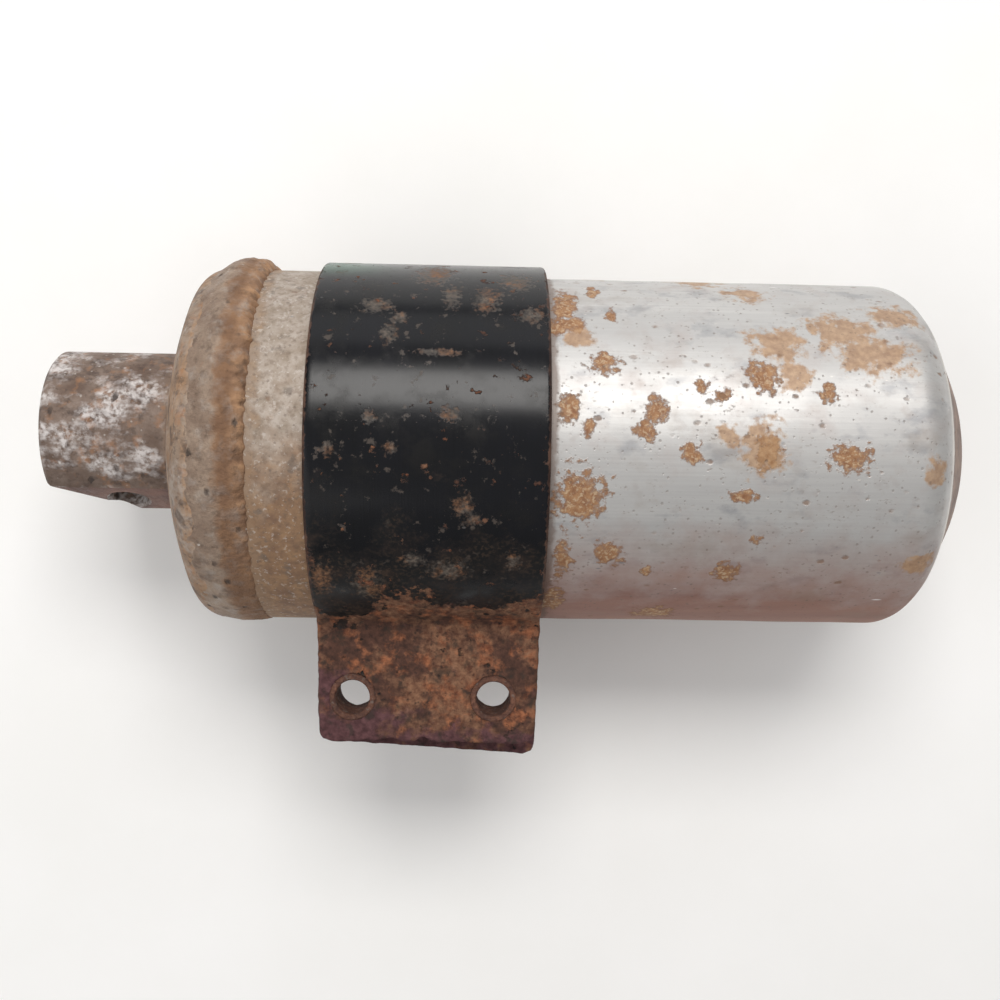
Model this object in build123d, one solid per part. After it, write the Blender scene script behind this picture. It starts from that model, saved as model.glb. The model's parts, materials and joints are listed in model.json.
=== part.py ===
from build123d import *
import os
from math import atan2, cos, degrees, hypot, radians, sin, sqrt, tan

# Receiver-drier of a small engine's cooling loop, lying in its released clamp strap. Millimetres.
# +X runs along the can from its ported head to its closed end, +Z is the normal of the clamp flange,
# and the flange hangs towards -Y. The origin is midway between the two bracket bolt holes, on the
# front face of the front flange.

# ---- Can -------------------------------------------------------------------------------------
body_radius = 38.0            # drawn can, 76 mm (3 in) across
mouth_radius = 38.6           # thicker, undrawn mouth that is welded to the head
bore_radius = 36.0            # inside of the can, one straight bore
mouth_length = 30.0           # weld joint to the end of the thick mouth
mouth_taper = 8.0             # blend from the mouth down to the drawn wall
can_length = 136.4            # weld joint to the start of the rounded end
end_wall = 2.0                # wall of the closed end
end_corner = 7.9              # outside radius where the side wall turns in
end_turn = 58.5               # degrees that the corner turns before the conical flank
end_crown_radius = 25.0       # where the conical flank runs into the domed centre

# ---- Head cap --------------------------------------------------------------------------------
shoulder_corner = 5.0
shoulder_turn = 67.0
shoulder_crown_radius = 33.5
spigot_length = 8.0           # centring spigot inside the can's mouth
spigot_clearance = 0.05
spigot_bore = 30.0
cavity_depth = 4.0            # floor of the hollow, head side of the weld joint
cavity_floor_radius = 22.0
boss_radius = 17.35
boss_offset = 2.6             # boss axis above the can axis, towards the inlet
boss_end = 42.7               # weld joint to the end of the boss
boss_root_fillet = 1.4
boss_edge = 0.8
flat_depth = 1.05             # milled off the boss for each port flat
flat_roll = 22.0              # degrees that the outlet flat is rolled from -Y towards +Z
flat_stop = 16.8              # weld joint to the end of the milled flats
bevel_start = 41.2            # weld joint to the bevel's line at the flat's front edge
bevel_stop = 25.7             # weld joint to the bevel's line at the flat's back edge
bevel_slope = 45.0            # degrees between the bevel and the flat's own normal plane

# ---- Ports and passages in the head -------------------------------------------------------------
port_station = 27.1           # weld joint to both port axes
port_radius = 4.1
port_depth = 8.5
inlet_past_passage = 0.8      # the inlet port bottoms this far past its passage's middle
port_edge = 0.6
passage_radius = 3.1
inlet_passage_radius = 2.6
inlet_roof = 3.1              # metal between the inlet passage and the inlet flat

# ---- Weld -----------------------------------------------------------------------------------------
bead_width = 10.6
bead_height = 2.3
weld_groove = 2.0

# ---- Clamp strap ------------------------------------------------------------------------------------
strap_thickness = 1.6
strap_width = 47.4
strap_clearance = 0.3         # all round the thick mouth while the clamp is released
strap_shift = 0.95            # strap middle beyond the bolt holes' middle, along the can
weld_station = 38.6           # bolt holes' middle back to the weld joint
bolt_drop = 13.4              # strap's outside down to the bolt line
flange_offset = 15.0          # can axis to the front flange's front face
flange_gap = 8.5              # between the flanges' inner faces
front_bend = 4.0              # inside radii of the two bends
rear_bend = 3.0
front_flange_end = 9.5        # bolt line down to each flange's end
rear_flange_end = 12.8
rear_flange_skew = 3.4        # degrees that the rear flange's end is cut off square
flange_taper = 0.7            # each side edge leans in this far by the flange's end
flange_corner = 1.8

# ---- Bolt sleeves --------------------------------------------------------------------------------------
bolt_spacing = 30.0
bolt_hole_radius = 3.65
sleeve_radius = 4.9
sleeve_rim = 0.3              # stands proud of the front flange
sleeve_gap = 0.6              # left for the bolts to close
rear_hole_radius = 3.9

# ---- Inside the can ----------------------------------------------------------------------------------
tube_radius = 4.0
tube_bore = 3.0
tube_clearance = 0.05
tube_seat_depth = 14.0        # how far the tube enters the head from the cavity floor
tube_end_gap = 0.5
ring_section = 1.9            # O-ring cord diameter
deflector_radius = 20.0
deflector_sheet = 1.2
deflector_hub_wall = 2.0
deflector_hub_length = 6.0
deflector_lip = 2.5
clip_thickness = 1.0
clip_radius = 7.5
spring_wire = 3.0
spring_radius = 33.2          # to the middle of the wire
spring_length = 28.0
spring_turns = 4.25
plate_thickness = 1.2
plate_clearance = 0.4         # plates, pads and bed inside the bore
pad_thickness = 6.0
perforation_radius = 1.6
perforation_rows = ((12.0, 10), (18.5, 16), (25.0, 22), (31.0, 28))
grommet_wall = 1.6
grommet_flange = 1.4
grommet_flange_width = 2.0
strainer_length = 11.0
strainer_wall = 1.3
strainer_rib = 1.6
strainer_floor_gap = 1.2
screen_thickness = 0.35
screen_gap = 2.6              # tube to the inside of the screen
band_height = 1.4
band_thickness = 0.6

# ---- Worked-out places -------------------------------------------------------------------------------
STANDING = (Align.CENTER, Align.CENTER, Align.MIN)
cut_room = 5.0                # cutters run this far past what they cut
strap_bore = mouth_radius + strap_clearance
strap_radius = strap_bore + strap_thickness
can_axis_y = strap_radius + bolt_drop
can_axis_z = -flange_offset
roll = radians(flat_roll)
port_out = Vector(0, -cos(roll), sin(roll))
port_back = Vector(0, -sin(roll), -cos(roll))
flat_distance = boss_radius - flat_depth
flat_half = sqrt(boss_radius ** 2 - flat_distance ** 2)
outlet_flat = flat_distance + boss_offset * port_out.Y
inlet_flat = flat_distance - boss_offset * port_out.Y
inlet_passage_offset = inlet_flat - inlet_roof - inlet_passage_radius
inlet_depth = inlet_roof + inlet_passage_radius + inlet_past_passage
tube_wall_radius = tube_radius + tube_clearance
fit_radius = bore_radius - plate_clearance
end_corner_bore = end_corner - end_wall
lower_plate_end = can_length + sqrt(end_corner_bore ** 2 - (end_corner_bore - plate_clearance) ** 2)
upper_plate_start = spigot_length + spring_length
pad_start = upper_plate_start + plate_thickness
bed_start = pad_start + pad_thickness
lower_plate_start = lower_plate_end - plate_thickness
lower_pad_start = lower_plate_start - pad_thickness


def place_on_can(solid):
    """Carry a piece drawn along the can axis, from the weld joint, into the part's frame."""
    return Pos(-weld_station, can_axis_y, can_axis_z) * solid


def ring(outer, inner, start, end):
    """Plain ring about the can axis, between two stations along it."""
    length = end - start
    solid = Cylinder(outer, length) - Cylinder(inner, length)
    return Pos((start + end) / 2, 0, 0) * Rot(0, 90, 0) * solid


def rod(radius, start, end, y=0.0, z=0.0):
    """Solid cylinder parallel to the can axis, between two stations along it."""
    solid = Cylinder(radius, end - start)
    return Pos((start + end) / 2, y, z) * Rot(0, 90, 0) * solid


def turned(edges):
    """Turn a closed outline, drawn beside the can axis, into a solid."""
    return revolve(make_face(edges), Axis.X, 360)


def outline(points):
    """Straight edges through the points, in order and left open."""
    return [Line(a, b) for a, b in zip(points, points[1:])]


def rounded_end(start, way, radius, corner, turn, crown_from, inset=0.0):
    """Edges of a rounded end from the side wall to the axis: corner, conical flank, domed crown."""
    turn = radians(turn)
    flank_radius = radius - corner + corner * cos(turn)
    flank_end = corner * sin(turn) + (flank_radius - crown_from) / tan(turn)
    crown = crown_from / cos(turn)
    crown_centre = flank_end - crown * sin(turn)

    def on_corner(angle):
        x = (corner - inset) * sin(angle)
        return (start + way * x, radius - corner + (corner - inset) * cos(angle))

    def on_crown(angle):
        x = crown_centre + (crown - inset) * sin(angle)
        return (start + way * x, (crown - inset) * cos(angle))

    top = radians(90)
    tip = (start + way * (crown_centre + crown - inset), 0)
    corner_arc = ThreePointArc(on_corner(0), on_corner(turn / 2), on_corner(turn))
    flank = Line(on_corner(turn), on_crown(turn))
    crown_arc = ThreePointArc(on_crown(turn), on_crown((turn + top) / 2), tip)
    return [corner_arc, flank, crown_arc], tip


def make_body_shell():
    """Drawn can: thick mouth with a weld bevel, thinner body, rounded and domed closed end."""
    outside, tip = rounded_end(can_length, 1, body_radius, end_corner, end_turn, end_crown_radius)
    inside, inner_tip = rounded_end(
        can_length, 1, body_radius, end_corner, end_turn, end_crown_radius, end_wall)
    wall = outline([
        (can_length, bore_radius),
        (0, bore_radius),
        (0, mouth_radius - weld_groove),
        (weld_groove, mouth_radius),
        (mouth_length, mouth_radius),
        (mouth_length + mouth_taper, body_radius),
        (can_length, body_radius),
    ])
    shell = turned(wall + outside + [Line(tip, inner_tip)] + inside)
    return place_on_can(shell)


def make_weld_bead():
    """Circumferential bead: a crown on both mouths and a root in the bevels between them."""
    half = bead_width / 2
    crown = ThreePointArc((-half, mouth_radius), (0, mouth_radius + bead_height), (half, mouth_radius))
    root = outline([
        (half, mouth_radius),
        (weld_groove, mouth_radius),
        (0, mouth_radius - weld_groove),
        (-weld_groove, mouth_radius),
        (-half, mouth_radius),
    ])
    return place_on_can(turned([crown] + root))


def head_blank():
    """Shoulder, spigot and hollow turned about the can axis, with the offset boss run into it."""
    half = bead_width / 2
    shoulder, tip = rounded_end(
        -half, -1, mouth_radius, shoulder_corner, shoulder_turn, shoulder_crown_radius)
    spigot_radius = bore_radius - spigot_clearance
    rest = outline([
        tip,
        (-cavity_depth, 0),
        (-cavity_depth, cavity_floor_radius),
        (spigot_length, spigot_bore),
        (spigot_length, spigot_radius),
        (0, spigot_radius),
        (0, mouth_radius - weld_groove),
        (-weld_groove, mouth_radius),
        (-half, mouth_radius),
    ])
    shoulder_solid = turned(shoulder + rest)
    boss = rod(boss_radius, -boss_end, -cavity_depth - 2, y=boss_offset)
    boss = chamfer(boss.faces().sort_by(Axis.X)[0].edges(), boss_edge)
    blank = shoulder_solid + boss

    def is_root(edge):
        middle = edge @ 0.5
        on_boss = abs(hypot(middle.Y - boss_offset, middle.Z) - boss_radius) < 0.01
        return on_boss and edge.geom_type != GeomType.LINE and middle.X > -boss_end + boss_edge + 1

    return fillet([edge for edge in blank.edges() if is_root(edge)], boss_root_fillet)


def port_tools(way, flat_from_axis, depth):
    """Cutters for one port: the drilled bore and its machined edge, pointing out along way."""
    mouth = Vector(-port_station, 0, 0) + way * flat_from_axis
    face = Plane(origin=mouth, x_dir=(1, 0, 0), z_dir=way)
    bore = face * Pos(0, 0, -depth) * Cylinder(port_radius, depth + cut_room, align=STANDING)
    edge = face * Cone(port_radius, port_radius + 2 * port_edge, 2 * port_edge)
    return bore + edge


def make_head_cap():
    """Forged head: domed shoulder and a round boss with two milled flats, a port drilled in each."""
    head = head_blank()
    flat_length = boss_end - flat_stop + cut_room
    flat_middle = -flat_stop - flat_length / 2
    for way in (port_out, port_out * -1):
        centre = Vector(flat_middle, boss_offset, 0) + way * flat_distance
        face = Plane(origin=centre, x_dir=(1, 0, 0), z_dir=way)
        head -= face * Box(flat_length, 4 * flat_half, 2 * cut_room, align=STANDING)

    # The lower back corner is bevelled off along a slanting line across the outlet flat.
    flat_centre = Vector(0, boss_offset, 0) + port_out * flat_distance
    line_front = flat_centre - port_back * flat_half - Vector(bevel_start, 0, 0)
    line_back = flat_centre + port_back * flat_half - Vector(bevel_stop, 0, 0)
    along = (line_back - line_front).normalized()
    in_flat = along.cross(port_out).normalized()
    if in_flat.X > 0:
        in_flat = in_flat * -1
    slope = radians(bevel_slope)
    bevel_out = in_flat * cos(slope) + port_out * sin(slope)
    bevel = Plane(origin=line_back, x_dir=along, z_dir=bevel_out)
    reach = 4 * boss_radius
    beside_boss = Pos(flat_middle, 0, 0) * Box(flat_length, reach, reach)
    head -= (bevel * Box(reach, reach, reach, align=STANDING)) & beside_boss

    # Outlet: side port, then a passage along the can axis to the tube's seat and the ring's recess.
    tube_seat = -cavity_depth - tube_seat_depth
    head -= port_tools(port_out, outlet_flat, port_depth)
    port_plane = Plane(origin=(-port_station, 0, 0), x_dir=(1, 0, 0), z_dir=port_out)
    cross_bore = port_plane * Cylinder(
        passage_radius, outlet_flat - 1, align=STANDING)
    head -= cross_bore
    head -= rod(passage_radius, -port_station - passage_radius, tube_seat + 1)
    head -= rod(tube_wall_radius, tube_seat, 0)
    head -= rod(tube_radius + ring_section, -cavity_depth - ring_section, 0)

    # Inlet: side port in the other flat, then an off-centre passage into the hollow.
    head -= port_tools(port_out * -1, inlet_flat, inlet_depth)
    passage = port_out * -inlet_passage_offset
    head -= rod(inlet_passage_radius, -port_station - inlet_passage_radius, 0, passage.Y, passage.Z)
    return place_on_can(head)


def flange_outline(end, skew):
    """Flat outline of one flange, seen along Z: leaning sides, rounded corners, skewed end."""
    half = strap_width / 2
    top = bolt_drop + cut_room
    drop = (half - flange_taper) * tan(radians(skew))
    left = (strap_shift - half + flange_taper, -end + drop)
    right = (strap_shift + half - flange_taper, -end - drop)
    corners = [(strap_shift - half, top), left, right, (strap_shift + half, top)]
    face = make_face(outline(corners + [corners[0]]))
    lower = face.vertices().sort_by(Axis.Y)[:2]
    return fillet(lower, flange_corner)


def trim_flange(end, skew, low_z, high_z):
    """Cutter that leaves one flange's outline out of the plain strip, below the bends."""
    depth = high_z - low_z
    top = bolt_drop - front_bend - strap_thickness - 1
    width = strap_width + 2 * cut_room
    length = top + rear_flange_end + 3 * cut_room
    around = Pos(strap_shift, top - length / 2, low_z) * Box(width, length, depth, align=STANDING)
    keep = Pos(0, 0, low_z) * extrude(flange_outline(end, skew), depth)
    return around - keep


def make_mounting_strap():
    """One steel strip: a ring round the can, bent out at both ends into two parallel flanges."""
    middle = strap_bore + strap_thickness / 2
    half = strap_thickness / 2
    front = flange_offset - half
    rear = flange_offset - strap_thickness - flange_gap - half
    front_radius = front_bend + half
    rear_radius = rear_bend + half
    front_z = front + front_radius
    rear_z = rear - rear_radius
    front_y = -sqrt((middle + front_radius) ** 2 - front_z ** 2)
    rear_y = -sqrt((middle + rear_radius) ** 2 - rear_z ** 2)
    front_angle = degrees(atan2(front_z, front_y)) % 360
    rear_angle = degrees(atan2(rear_z, rear_y)) % 360
    low = -can_axis_y - rear_flange_end - 2 * cut_room

    def side(out):
        """Edges of one face of the strip; out is how far it lies outside the strip's middle."""
        start = (low, front + out)
        stop = (low, rear - out)
        front_arc = CenterArc((front_y, front_z), front_radius - out, -90, front_angle - 90)
        ring_arc = CenterArc((0, 0), middle + out, rear_angle, 360 - rear_angle + front_angle)
        rear_arc = CenterArc((rear_y, rear_z), rear_radius - out, 90, rear_angle - 270)
        leg_in = Line(start, (front_y, front + out))
        leg_out = Line((rear_y, rear - out), stop)
        return [leg_in, front_arc, ring_arc, rear_arc, leg_out], start, stop

    outer, outer_start, outer_stop = side(half)
    inner, inner_start, inner_stop = side(-half)
    edges = outer + inner + [Line(outer_start, inner_start), Line(outer_stop, inner_stop)]
    left_edge = (strap_shift - strap_width / 2, can_axis_y, can_axis_z)
    section = Plane(origin=left_edge, x_dir=(0, 1, 0), z_dir=(1, 0, 0))
    strap = extrude(section * make_face(edges), strap_width, dir=(1, 0, 0))

    mid_gap = -strap_thickness - flange_gap / 2
    strap -= trim_flange(front_flange_end, 0.0, mid_gap, cut_room)
    strap -= trim_flange(rear_flange_end, rear_flange_skew, 3 * mid_gap, mid_gap)
    for x in (-bolt_spacing / 2, bolt_spacing / 2):
        strap -= Pos(x, 0, 0) * Cylinder(sleeve_radius, 2 * strap_thickness + 1)
        strap -= Pos(x, 0, mid_gap * 2) * Cylinder(rear_hole_radius, 2 * strap_thickness + 1)
    return strap


def make_bolt_sleeve(x):
    """Spacer swaged into the front flange, which stops the bolt from crushing the flanges."""
    low = -strap_thickness - flange_gap + sleeve_gap
    length = sleeve_rim - low
    sleeve = Cylinder(sleeve_radius, length) - Cylinder(bolt_hole_radius, length)
    top_edges = sleeve.faces().sort_by(Axis.Z)[-1].edges()
    sleeve = chamfer(top_edges, sleeve_rim * 0.8)
    return Pos(x, 0, low + length / 2) * sleeve


def crown_floor():
    """Station of the closed end's inner surface on the can axis."""
    tip = rounded_end(can_length, 1, body_radius, end_corner, end_turn, end_crown_radius, end_wall)[1]
    return tip[0]


def make_pickup_tube():
    """Straight tube from its seat in the head down to the strainer."""
    start = -cavity_depth - tube_seat_depth + tube_end_gap
    end = strainer_start() + band_height + 1
    return place_on_can(ring(tube_radius, tube_bore, start, end))


def strainer_start():
    """Station of the strainer's open end, measured back from the closed end."""
    return crown_floor() - strainer_floor_gap - strainer_length


def make_tube_o_ring():
    """Ring that seals the pickup tube in the recess of the head."""
    middle = tube_radius + ring_section / 2
    torus = Torus(middle, ring_section / 2)
    return place_on_can(Pos(-cavity_depth - ring_section / 2, 0, 0) * Rot(0, 90, 0) * torus)


def deflector_end():
    """Station of the deflector hub's free end."""
    return -cavity_depth + deflector_hub_length


def make_inlet_deflector():
    """Dished disc on a hub that throws the incoming flow outwards and keeps the O-ring in."""
    hub_radius = tube_wall_radius + deflector_hub_wall
    end = deflector_end()
    hub = ring(hub_radius, tube_wall_radius, -cavity_depth, end)
    disc = ring(deflector_radius, tube_wall_radius, end - deflector_sheet, end)
    lip = ring(deflector_radius, deflector_radius - deflector_sheet, end - deflector_lip, end)
    return place_on_can(hub + disc + lip)


def make_deflector_clip():
    """Push-on ring that holds the deflector up against the head."""
    end = deflector_end()
    clip = ring(clip_radius, tube_radius, end, end + clip_thickness)
    for turn in (0, 120, 240):
        clip -= Rot(turn, 0, 0) * Pos(end, clip_radius, 0) * Box(4 * clip_thickness, 3.0, 2.4)
    return place_on_can(clip)


def make_compression_spring():
    """Round-wire spring with ground ends, which keeps the desiccant packed."""
    inset = spring_wire * 0.3
    rise = spring_length - 2 * inset
    path = Helix(pitch=rise / spring_turns, height=rise, radius=spring_radius)
    start_plane = Plane(origin=path @ 0, z_dir=path % 0)
    coil = sweep(start_plane * Circle(spring_wire / 2), path=path, is_frenet=True)
    coil = Pos(spigot_length + inset, 0, 0) * Rot(0, 90, 0) * coil
    band = ring(spring_radius + spring_wire, spring_radius - spring_wire, spigot_length, upper_plate_start)
    return place_on_can(coil & band)


def make_perforated_plate(start, centre_radius):
    """Round sieve plate with rings of holes."""
    plate = ring(fit_radius, centre_radius, start, start + plate_thickness)
    middle = start + plate_thickness / 2
    for row_radius, count in perforation_rows:
        holes = [
            Rot(360 * i / count, 0, 0) * rod(
                perforation_radius, middle - plate_thickness, middle + plate_thickness, y=row_radius)
            for i in range(count)
        ]
        plate -= holes
    return place_on_can(plate)


def make_tube_grommet():
    """Moulded bush that centres the tube in the lower plate."""
    sleeve_wall = tube_wall_radius + grommet_wall
    body = ring(sleeve_wall, tube_wall_radius, lower_plate_start, lower_plate_end)
    foot_radius = sleeve_wall + grommet_flange_width
    foot = ring(foot_radius, tube_wall_radius, lower_plate_end, lower_plate_end + grommet_flange)
    return place_on_can(body + foot)


def make_strainer_cage():
    """Moulded cage: a collar on the tube's end, four ribs and a closed foot."""
    start = strainer_start()
    end = start + strainer_length
    cage_radius = tube_radius + screen_gap
    collar = ring(cage_radius, tube_wall_radius, start, start + band_height + 1)
    foot = rod(cage_radius, end - strainer_wall, end)
    cage = collar + foot
    rib_depth = cage_radius - tube_wall_radius
    for turn in (45, 135, 225, 315):
        rib = Pos(start + strainer_length / 2, tube_wall_radius + rib_depth / 2, 0) * Box(
            strainer_length, rib_depth - 0.4, strainer_rib)
        cage += Rot(turn, 0, 0) * rib
    return place_on_can(cage)


def make_strainer_screen():
    """Woven screen wrapped round the cage, drawn as one thin sleeve."""
    start = strainer_start()
    inner = tube_radius + screen_gap
    return place_on_can(ring(inner + screen_thickness, inner, start, start + strainer_length))


def make_strainer_band():
    """Crimped band that holds the screen on the cage's collar."""
    start = strainer_start()
    inner = tube_radius + screen_gap + screen_thickness
    return place_on_can(ring(inner + band_thickness, inner, start, start + band_height))


def make_bed_piece(start, end):
    """Filling of the bore round the pickup tube: a felt pad or the desiccant."""
    return place_on_can(ring(fit_radius, tube_wall_radius, start, end))


pieces = {
    "body_shell": make_body_shell(),
    "head_cap": make_head_cap(),
    "weld_bead": make_weld_bead(),
    "mounting_strap": make_mounting_strap(),
    "left_bolt_sleeve": make_bolt_sleeve(-bolt_spacing / 2),
    "right_bolt_sleeve": make_bolt_sleeve(bolt_spacing / 2),
    "pickup_tube": make_pickup_tube(),
    "tube_o_ring": make_tube_o_ring(),
    "inlet_deflector": make_inlet_deflector(),
    "deflector_clip": make_deflector_clip(),
    "compression_spring": make_compression_spring(),
    "upper_perforated_plate": make_perforated_plate(upper_plate_start, tube_wall_radius),
    "upper_felt_pad": make_bed_piece(pad_start, bed_start),
    "desiccant_bed": make_bed_piece(bed_start, lower_pad_start),
    "lower_felt_pad": make_bed_piece(lower_pad_start, lower_plate_start),
    "lower_perforated_plate": make_perforated_plate(lower_plate_start, tube_wall_radius + grommet_wall),
    "tube_grommet": make_tube_grommet(),
    "strainer_cage": make_strainer_cage(),
    "strainer_screen": make_strainer_screen(),
    "strainer_band": make_strainer_band(),
}

os.makedirs("parts", exist_ok=True)
for name, piece in pieces.items():
    export_step(piece, f"parts/{name}.step")
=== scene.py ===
import json
from itertools import product
from math import cos, degrees, pi, radians, sin, tan

import bmesh
import bpy
import numpy as np
from mathutils import Matrix, Vector


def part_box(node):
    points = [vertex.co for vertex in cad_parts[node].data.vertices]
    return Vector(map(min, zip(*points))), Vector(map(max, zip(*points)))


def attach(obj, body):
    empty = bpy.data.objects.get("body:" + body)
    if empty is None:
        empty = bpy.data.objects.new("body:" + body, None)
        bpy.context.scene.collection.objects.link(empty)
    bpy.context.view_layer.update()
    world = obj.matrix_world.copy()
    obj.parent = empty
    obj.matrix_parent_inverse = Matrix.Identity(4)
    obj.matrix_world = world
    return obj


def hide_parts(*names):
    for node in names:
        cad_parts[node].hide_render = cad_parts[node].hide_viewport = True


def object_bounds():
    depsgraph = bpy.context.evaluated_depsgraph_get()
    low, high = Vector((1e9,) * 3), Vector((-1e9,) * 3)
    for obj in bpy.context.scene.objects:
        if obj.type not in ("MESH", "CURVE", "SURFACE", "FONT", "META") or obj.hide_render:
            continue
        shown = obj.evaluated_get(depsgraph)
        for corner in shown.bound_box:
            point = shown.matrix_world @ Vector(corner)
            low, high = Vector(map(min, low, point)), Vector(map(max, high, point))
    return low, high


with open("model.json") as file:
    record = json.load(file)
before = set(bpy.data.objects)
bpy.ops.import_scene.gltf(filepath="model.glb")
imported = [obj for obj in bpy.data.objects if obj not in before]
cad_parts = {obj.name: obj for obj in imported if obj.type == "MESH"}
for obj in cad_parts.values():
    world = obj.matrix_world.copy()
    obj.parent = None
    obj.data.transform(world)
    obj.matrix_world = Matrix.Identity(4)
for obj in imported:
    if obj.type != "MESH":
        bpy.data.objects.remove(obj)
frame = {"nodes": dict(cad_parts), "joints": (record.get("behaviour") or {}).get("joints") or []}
cad_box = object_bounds()

# Receiver-drier in its clamp strap. Shapes are worked out in millimetres about the can axis: x along
# the can, y up past the strap's closed side, z out through the clamp's flanges. Angles round the can go
# from +Z to +Y.
MM = 0.001
axis = Vector(frame["joints"][0]["pos_m"])
weld_low, weld_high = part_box("weld_bead")
shell_low, shell_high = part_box("body_shell")
weld_x = (weld_low.x + weld_high.x) / 2 / MM
mouth_radius = (shell_high.y - shell_low.y) / 2 / MM

# Can
body_radius = 38.0
bore_radius = 36.0
mouth_length = 30.0
mouth_taper = 8.0
can_length = 136.4
end_wall = 2.0
end_corner = 7.9
end_turn = 58.5
crown_from = 25.0
end_ridge = 34.0              # radius of the raised ridge where the corner meets the flank; a painted highlight runs along it
ridge_height = 0.25
ridge_width = 0.7
end_tilt = 0.014              # radians that the far end leans
dent_depth = 0.16
mark_growth = 1.1             # how far stains and chips have spread past their first size
port_way = (0, -0.93, 0.37)   # the way that the lower port's flat faces

# Strap
strap_thickness = 1.6
strap_middle = 0.95           # strap's middle along x
strap_half = 23.7
strap_ring = 39.7             # radius of the strap's centreline
front_bend = (-40.24, 19.0, 4.8)    # y, z and radius of each bend's centreline
rear_bend = (-43.5, 0.3, 3.8)
front_end = -63.4             # y of each flange's end
rear_end = -66.7
rear_skew = tan(radians(3.4))
flange_taper = 0.7
flange_corner = 2.4
flange_leg = 24.0             # length over which the front flange tapers, from its end
bite_fade = 4.0               # how far from the front end the corrosion bites reach
skew_fade = 12.0              # how far from the rear end its skew reaches
bolt_x = 15.0
bolt_y = -53.9
sleeve_radius = 4.9
rear_hole_radius = 3.9

# Weld bead: a smooth fillet over the joint, with a narrower rippled run along its can side
fillet_left = -7.5            # from the weld joint
fillet_right = 4.7
fillet_crown = -1.0
fillet_height = 1.75
fillet_swell = 1.0            # higher by this at +Y and lower by it at -Y
shoulder_start = -5.3
shoulder_corner = 5.0
pool_spacing = 1.1            # from one frozen pool of weld metal to the next
pool_middle = 1.7
pool_half_width = 3.1
pool_half_length = 1.3
pool_tilt = 8.0               # degrees that each pool leans back over the one before
pool_lift = 0.06              # higher than the fillet
voxel = 0.32                  # mesh size of the fused bead

# Weathering, painted shade, shadow and reflections: the place where each finish starts and the place where
# it is full
low_reflection_reach = (-14.0, -37.0)     # y, painted red reflection of the ground on the can's low side
strap_shadow_reach = (strap_middle + strap_half + 2.2, strap_middle + strap_half + 0.6)   # x, painted shadow beside the strap's edge
end_shade_reach = (94.0, 95.0)       # x, painted shade and brown reflection on the closed end
dome_shade_reach = (end_ridge + 0.2, end_ridge - 4.0)    # radius, inside the ridge
mouth_dust = (-18.0, -24.0)   # x, caked mouth
mouth_brown = (8.0, -18.0)    # y, browner low half of the mouth
boss_oxide = (-53.0, -56.0)   # x, darker boss with white oxide
shoulder_dust = (-55.5, -52.0)          # x, banded dust on the shoulder
head_foot_dust = (-45.5, -43.0)         # x, orange dust at the bead's foot
packed_dust = (weld_x - 2.6, weld_x + 1.2)              # x, rippled side of the bead
enamel_wear = (4.0, -38.0)    # y, dull low side of the strap, speckled with dust


def colour(code):
    """Linear RGBA of an sRGB hex colour."""
    channels = [int(code[i:i + 2], 16) / 255 for i in (1, 3, 5)]
    return [c / 12.92 if c <= 0.04045 else ((c + 0.055) / 1.055) ** 2.4 for c in channels] + [1.0]


def add(tree, kind, inputs=None, **settings):
    """Add a node with its settings; inputs are values or sockets. Gives the first output in use."""
    node = tree.nodes.new(kind)
    for name, value in settings.items():
        setattr(node, name, value)
    for key, value in (inputs or {}).items():
        if isinstance(value, bpy.types.NodeSocket):
            tree.links.new(value, node.inputs[key])
        else:
            node.inputs[key].default_value = value
    return next((output for output in node.outputs if output.enabled), None)


# ---- Patterns -----------------------------------------------------------------------------------------

def surface(name):
    """New material, and the socket that gives the place in millimetres about the can axis."""
    material = bpy.data.materials.new(name)
    material.use_nodes = True
    tree = material.node_tree
    tree.nodes.clear()
    here = add(tree, "ShaderNodeTexCoord").node.outputs["Object"]
    shift = [-axis.x / MM, -axis.y / MM, -axis.z / MM]
    return material, add(tree, "ShaderNodeMapping", {
        "Vector": here, "Location": shift, "Scale": [1 / MM] * 3})


def mask_from(place, source):
    """Mask from a mask, from the name of a number in the mesh, or from a value and its 0 and 1 places."""
    if isinstance(source, str):
        return add(place.id_data, "ShaderNodeAttribute", attribute_name=source).node.outputs["Fac"]
    if isinstance(source, tuple):
        value, (start, stop) = source
        return add(place.id_data, "ShaderNodeMapRange", {
            "Value": value, "From Min": start, "From Max": stop})
    return source


def patches(place, size, low, high, stretch=(1, 1, 1), detail=5.0, seed=0.0):
    """Mask of ragged patches about size mm across, 0 where the noise is under low and 1 over high."""
    tree = place.id_data
    scale = [s / size for s in stretch]
    moved = add(tree, "ShaderNodeMapping", {"Vector": place, "Location": [seed] * 3, "Scale": scale})
    noise = add(tree, "ShaderNodeTexNoise", {
        "Vector": moved, "Scale": 1.0, "Detail": detail, "Roughness": 0.6})
    return mask_from(place, (noise, (low, high)))


def picked_cells(place, share, moved, largest):
    """How far each point is inside the mark of its cell, in a share of the cells; largest is in cells."""
    tree = place.id_data
    cells = add(tree, "ShaderNodeTexVoronoi", {"Vector": moved, "Scale": 1.0})
    pick = add(tree, "ShaderNodeSeparateColor", {"Color": cells.node.outputs["Color"]})
    reach = add(tree, "ShaderNodeMapRange", {"Value": pick, "From Min": 1 - share, "To Max": largest})
    return add(tree, "ShaderNodeMath", {0: reach, 1: cells}, operation="SUBTRACT")


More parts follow.
